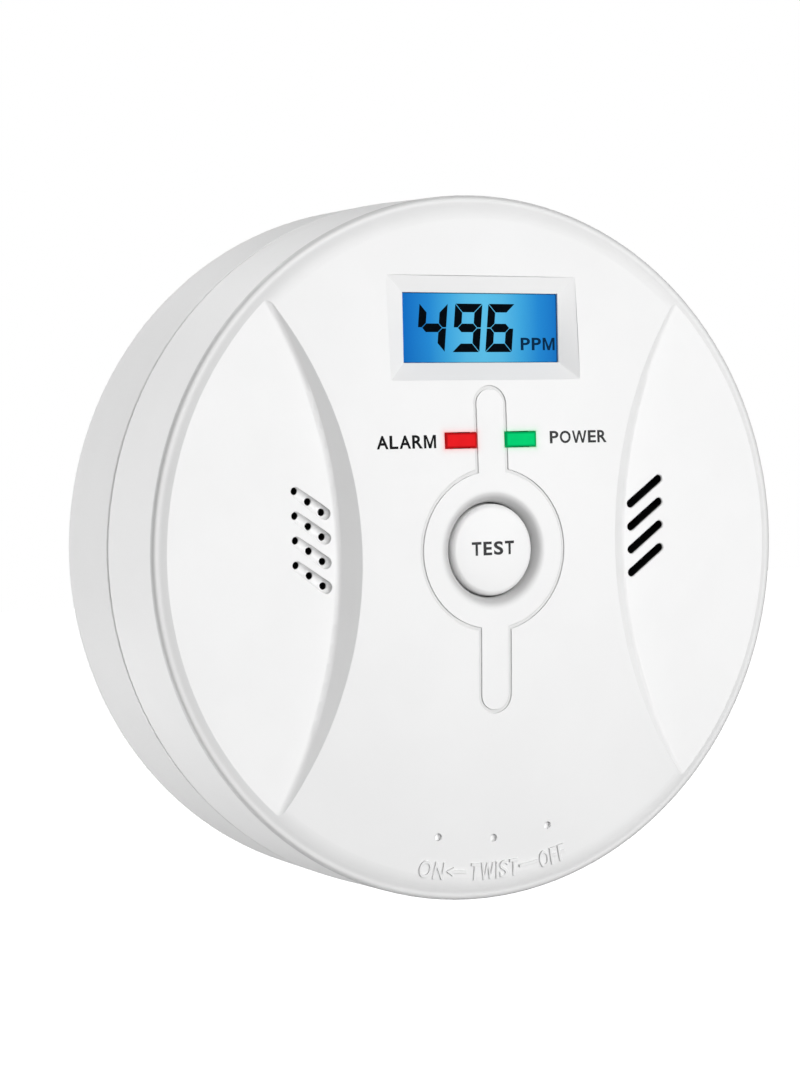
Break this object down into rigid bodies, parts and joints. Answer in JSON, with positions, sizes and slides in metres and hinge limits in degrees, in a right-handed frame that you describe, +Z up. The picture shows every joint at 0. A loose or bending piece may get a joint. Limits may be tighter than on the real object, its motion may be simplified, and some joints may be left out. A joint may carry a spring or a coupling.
{
  "type": "carbon monoxide detector",
  "caption": "Round wall-mounted gas alarm with a small blue display, two indicator lights, a test button and a twist-off head on a wall base.",
  "frame": {"origin": "centre of the mounting base's flat back, on the wall plane", "axes": "+Z up, +Y into the wall, so the face looks towards -Y and +X is to the right seen from the front"},
  "size_m": [0.102, 0.0382, 0.102],
  "materials": {
    "white_plastic": "fine matt moulded ABS",
    "base_plastic": "fine matt moulded ABS, a shade greyer",
    "button_plastic": "satin moulded ABS",
    "chassis_plastic": "matt moulded ABS",
    "black_plastic": "matt moulded",
    "grey_plastic": "matt moulded",
    "display_glass": "polished, backlit blue",
    "light_guide": "frosted acrylic",
    "red_lens": "tinted epoxy",
    "green_lens": "tinted epoxy",
    "board_laminate": "solder-masked glass laminate",
    "chip_plastic": "moulded epoxy",
    "tinned_metal": "tinned",
    "sensor_metal": "drawn can",
    "foam": "closed-cell foam",
    "elastomer": "striped silicone",
    "screen_metal": "etched",
    "piezo_brass": "rolled",
    "capacitor_sleeve": "sleeved can",
    "coil_copper": "enamelled winding",
    "chip_parts": "ceramic",
    "cell_jacket": "printed steel jacket, plain",
    "spring_steel": "nickel plated",
    "contact_metal": "nickel plated",
    "red_insulation": "PVC",
    "black_insulation": "PVC",
    "screw_steel": "zinc plated"
  },
  "bodies": {
    "wall_base": {"mounting_base": "base_plastic"},
    "alarm_head": {"front_cover": "white_plastic", "rear_chassis": "chassis_plastic", "tact_switch": "black_plastic", "circuit_board": "board_laminate", "lcd_panel": "display_glass", "lcd_backlight": "light_guide", "lcd_holder": "black_plastic", "lcd_connector": "elastomer", "alarm_led": "red_lens", "power_led": "green_lens", "led_spacers": "black_plastic", "led_leads": "tinned_metal", "co_sensor": "sensor_metal", "sensor_gasket": "foam", "dust_screen": "screen_metal", "buzzer_case": "black_plastic", "piezo_disc": "piezo_brass", "controller_chip": "chip_plastic", "storage_capacitor": "capacitor_sleeve", "crystal": "tinned_metal", "boost_coil": "coil_copper", "smd_parts": "chip_parts", "battery_top": "cell_jacket", "battery_middle": "cell_jacket", "battery_bottom": "cell_jacket", "battery_springs": "spring_steel", "contact_plates": "contact_metal", "positive_lead": "red_insulation", "negative_lead": "black_insulation", "chassis_screws": "screw_steel", "board_screws": "screw_steel"},
    "test_button_body": {"test_button": "button_plastic", "tact_plunger": "grey_plastic"}
  },
  "joints": [
    {"name": "twist_lock", "type": "hinge", "parent": "wall_base", "child": "alarm_head", "pos_m": [0, 0, 0], "axis": [0, 1, 0], "range_deg": [-15, 0]},
    {"name": "test_press", "type": "slide", "parent": "alarm_head", "child": "test_button_body", "axis": [0, 1, 0], "range_m": [0, 0.0005], "stiffness_N_per_m": 1500, "springref_m": -0.0004}
  ]
}
